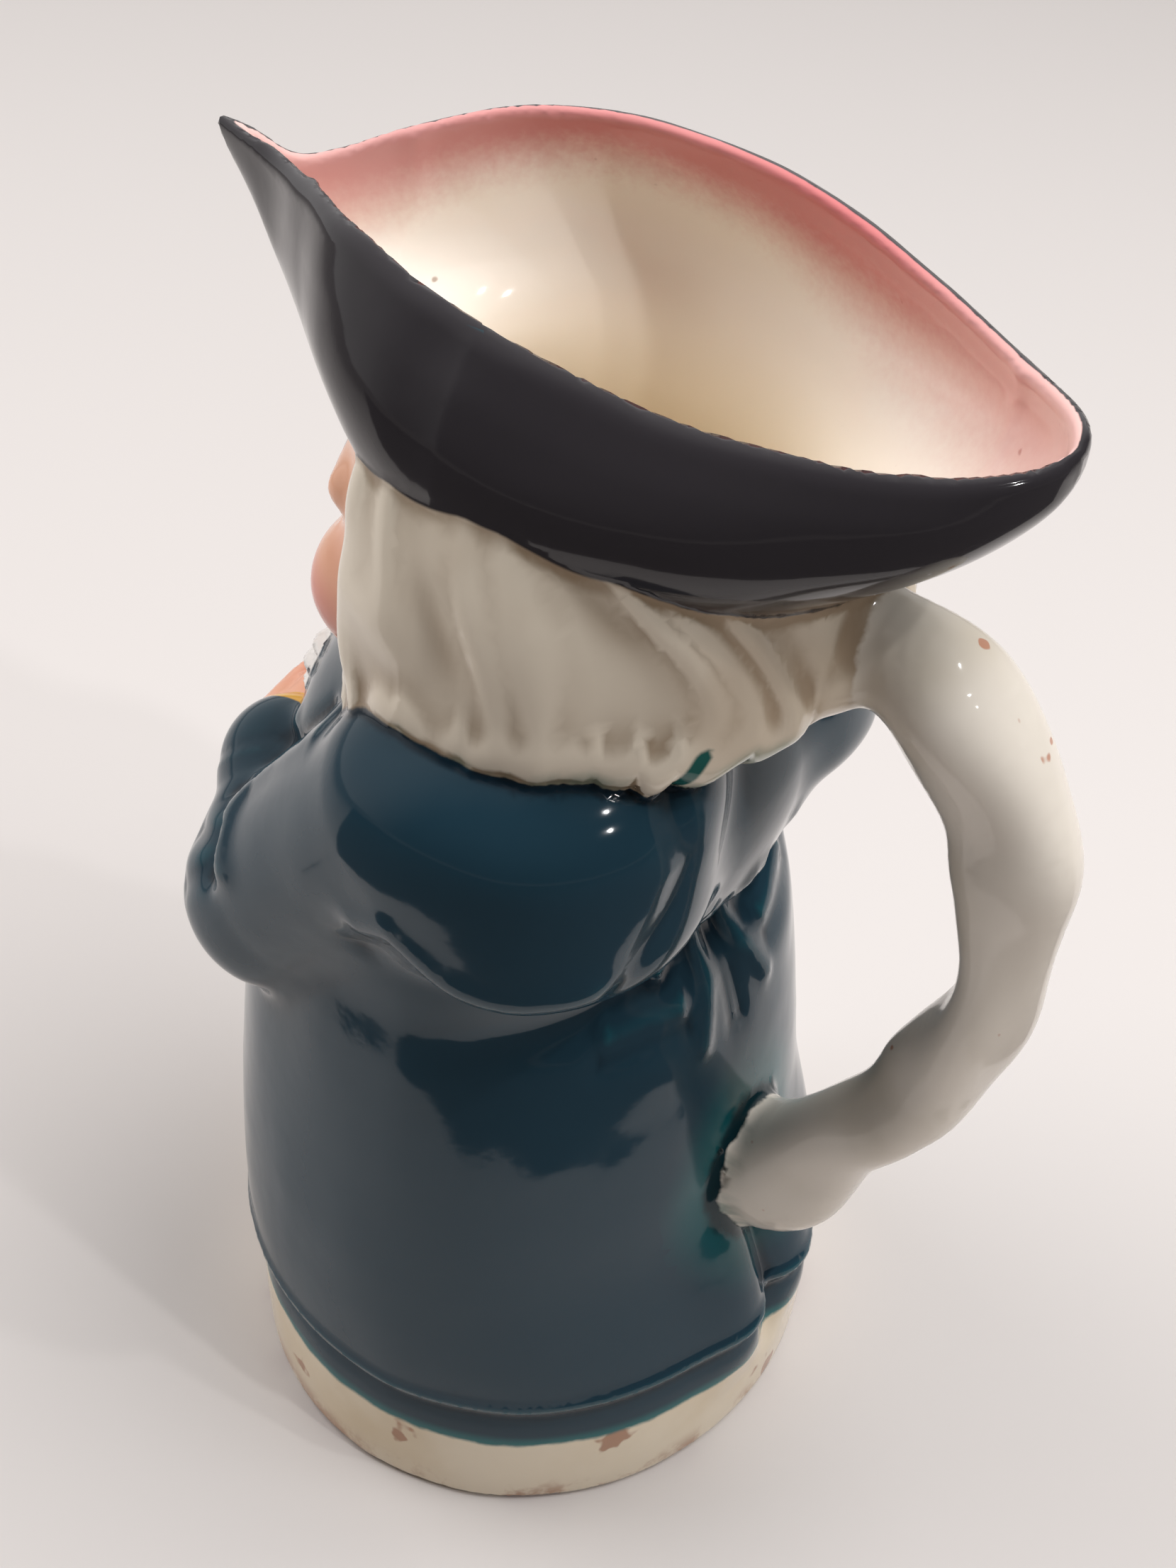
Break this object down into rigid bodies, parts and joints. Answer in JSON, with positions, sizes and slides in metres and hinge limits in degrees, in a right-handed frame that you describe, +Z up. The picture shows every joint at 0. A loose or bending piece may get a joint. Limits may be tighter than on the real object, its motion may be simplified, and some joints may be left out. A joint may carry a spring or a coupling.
{
  "type": "toby jug",
  "caption": "Hollow glazed ceramic jug shaped as a seated man in a boat-shaped tricorn hat, with a branch-like handle down his back.",
  "frame": {"origin": "centre of the foot's flat underside, in the figure's plane of symmetry", "axes": "+Z up, -Y the way the figure faces, +X his left, +Y the side of the handle"},
  "size_m": [0.0962, 0.1265, 0.1923],
  "materials": {
    "glazed_ceramic": "gloss glaze over hand-painted underglaze colour: teal coat, black hat, ivory hair, handle and foot, pink-edged cream inside"
  },
  "bodies": {
    "root": {"jug": "glazed_ceramic"}
  },
  "joints": []
}
